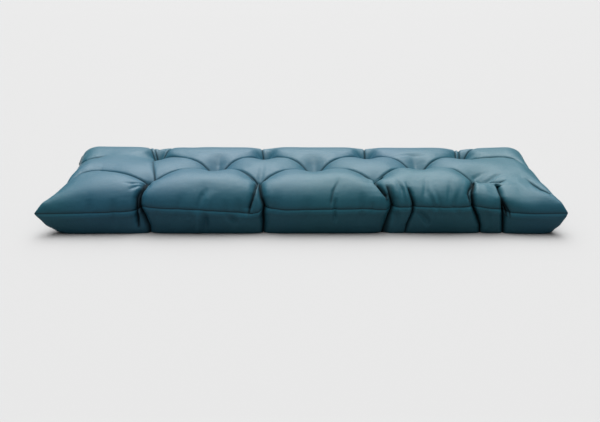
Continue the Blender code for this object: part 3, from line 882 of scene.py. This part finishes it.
def freedom(fx, fy, onTop):  # 0 on tufts and folds, 1 well away from them
    fromSeam = (halfY - np.abs(fy)) * (1 if onTop else -1)
    least = filling["holdingDepth"]
    nearest = np.full_like(fx, farAway)
    for row in tufts.values():
        for x, y, _, _, _ in row:
            nearest = np.minimum(nearest, np.hypot(fx - x, fy - y))
    if onTop:
        for points in diamondFolds() + [fold[1] for fold in topFolds]:
            legs = [leg for leg in legsOf(points) if max(leg[0][2], leg[1][2]) >= least]
            nearest = np.minimum(nearest, nearestOn(fx, fy, legs)[0])
    for table, side in ((frontClefts, -1), (backClefts, 1)):
        for _, rows, _, _ in table:
            line, deep, start, end = cleftPath(rows, fromSeam)
            within = (fy * side > 0) & (deep > least) & (fromSeam > start) & (fromSeam < end)
            nearest = np.where(within, np.minimum(nearest, np.abs(fx - line)), nearest)
    return ease(nearest / filling["foldHold"])


def finer(values):  # twice as many rows and columns, on a smooth curve through the known ones
    for _ in range(2):
        padded = np.concatenate((2 * values[:1] - values[1:2], values, 2 * values[-1:] - values[-2:-1]))
        between = (9 * (padded[1:-2] + padded[2:-1]) - padded[:-3] - padded[3:]) / 16
        twice = np.empty((2 * len(values) - 1, *values.shape[1:]))
        twice[::2], twice[1::2] = values, between
        values = twice.swapaxes(0, 1)
    return values


shifts = filled(filling)
cushion = sewnPanels("cushion_cover", shape["columns"], shape["rows"], shifts)
print("cushion sewn,", len(cushion.data.vertices), "points")


# The cloth's finish
cloth = {
    "colours": ((0.0122, 0.0570, 0.0880, 1), (0.0110, 0.0590, 0.0800, 1)),  # bluer and greener, in slow patches
    "patches": 2.6,  # to the metre
    "patchEdges": (0.35, 0.65),
    "mottle": (240, 0.05),  # specks to the metre, and how much lighter or darker they are
    "speckEdges": (0.3, 0.7),
    "seamShade": 0.40,  # painted shade: what is left of the colour in the groove of the seam
    "seamHighlight": 1.4,  # and how much lighter the painted highlight on the lip just below the groove is
    "seamBand": 0.004,
    # painted shade: what is left of the colour at the bottom of a crease
    "creaseShade": 0.07,
    "roughness": (0.38, 1.0),  # in the open, and deep in a crease
    "specular": 0.13,
    "threads": 1200,  # to the metre, each way
    "threadHeight": 0.00006,
    "puckers": 55,  # to the metre
    "puckerHeight": 0.0007,
}


def coverMaterial(look):
    material = bpy.data.materials.new("cover cloth")
    material.use_nodes = True
    tree = material.node_tree
    shader = tree.nodes["Principled BSDF"]
    shader.inputs["Specular IOR Level"].default_value = look["specular"]
    place = addNode(tree, "TexCoord", {}).outputs["Object"]

    # colour: slow patches, fine specks, painted shade in the seam's groove, a painted highlight on the lip just
    # below it, and painted shade in the creases
    patches = addNode(tree, "TexNoise", {"Vector": place, "Scale": look["patches"], "Detail": 1.0}).outputs["Fac"]
    dye = addNode(tree, "ValToRGB", {"Fac": patches})
    for element, spot, colour in zip(dye.color_ramp.elements, look["patchEdges"], look["colours"]):
        element.position, element.color = spot, colour
    scale, depth = look["mottle"]
    specks = addNode(tree, "TexNoise", {"Vector": place, "Scale": scale, "Detail": 2.0}).outputs["Fac"]
    low, high = look["speckEdges"]
    feeds = {"Value": specks, "From Min": low, "From Max": high, "To Min": 1 - depth, "To Max": 1 + depth}
    share = addNode(tree, "MapRange", feeds).outputs["Result"]

    # painted shade in the seam's groove and a painted highlight on the lip below it
    seam = addNode(tree, "Attribute", {}, attribute_name="seam").outputs["Fac"]
    feeds = {"Value": seam, "From Min": -look["seamBand"], "From Max": look["seamBand"]}
    band = addNode(tree, "ValToRGB", {"Fac": addNode(tree, "MapRange", feeds).outputs["Result"]})
    highlight, shade = look["seamHighlight"] / 2, look["seamShade"] / 2  # halved to stay within the ramp, doubled below
    # from the base up: plain cloth, the painted highlight on the lip, the painted shade in the groove and plain
    # cloth again
    stops = ((0.0, 0.5), (0.16, highlight), (0.36, highlight), (0.46, shade), (0.54, shade), (0.64, 0.5))
    elements = band.color_ramp.elements
    for i, (spot, level) in enumerate(stops):
        element = elements[i] if i < 2 else elements.new(spot)
        element.position, element.color = spot, (level, level, level, 1)
    double = addNode(tree, "Math", {0: band.outputs["Color"], 1: 2.0}, operation="MULTIPLY").outputs[0]
    share = addNode(tree, "Math", {0: share, 1: double}, operation="MULTIPLY").outputs[0]

    # painted shade along the folds: the crease attribute darkens the colour
    crease = addNode(tree, "Attribute", {}, attribute_name="crease").outputs["Fac"]
    feeds = {"Value": crease, "To Min": 1.0, "To Max": look["creaseShade"]}
    dark = addNode(tree, "MapRange", feeds).outputs["Result"]
    share = addNode(tree, "Math", {0: share, 1: dark}, operation="MULTIPLY").outputs[0]
    dyed = addNode(tree, "VectorMath", {0: dye.outputs["Color"], "Scale": share}, operation="SCALE")
    tree.links.new(dyed.outputs[0], shader.inputs["Base Color"])
    least, most = look["roughness"]
    matt = addNode(tree, "MapRange", {"Value": crease, "To Min": least, "To Max": most})
    tree.links.new(matt.outputs["Result"], shader.inputs["Roughness"])

    # relief: threads over and under each other, measured along the cloth, and faint puckers
    flat = addNode(tree, "UVMap", {}, uv_map="cloth").outputs["UV"]
    across = addNode(tree, "SeparateXYZ", {0: flat})
    waves = []
    for way in ("X", "Y"):
        turn = addNode(tree, "Math", {0: across.outputs[way], 1: look["threads"] * math.pi}, operation="MULTIPLY")
        waves.append(addNode(tree, "Math", {0: turn.outputs[0]}, operation="SINE").outputs[0])
    weave = addNode(tree, "Math", {0: waves[0], 1: waves[1]}, operation="MULTIPLY").outputs[0]
    puckers = addNode(tree, "TexNoise", {"Vector": place, "Scale": look["puckers"], "Detail": 1.0}).outputs["Fac"]
    feeds = {"Height": puckers, "Distance": look["puckerHeight"], "Strength": 1.0}
    relief = addNode(tree, "Bump", feeds).outputs["Normal"]
    feeds = {"Height": weave, "Distance": look["threadHeight"], "Strength": 1.0, "Normal": relief}
    tree.links.new(addNode(tree, "Bump", feeds).outputs["Normal"], shader.inputs["Normal"])
    return material


cushion.data.materials.append(coverMaterial(cloth))
print("cloth finished")

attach(cushion, "root")
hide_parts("cushion")
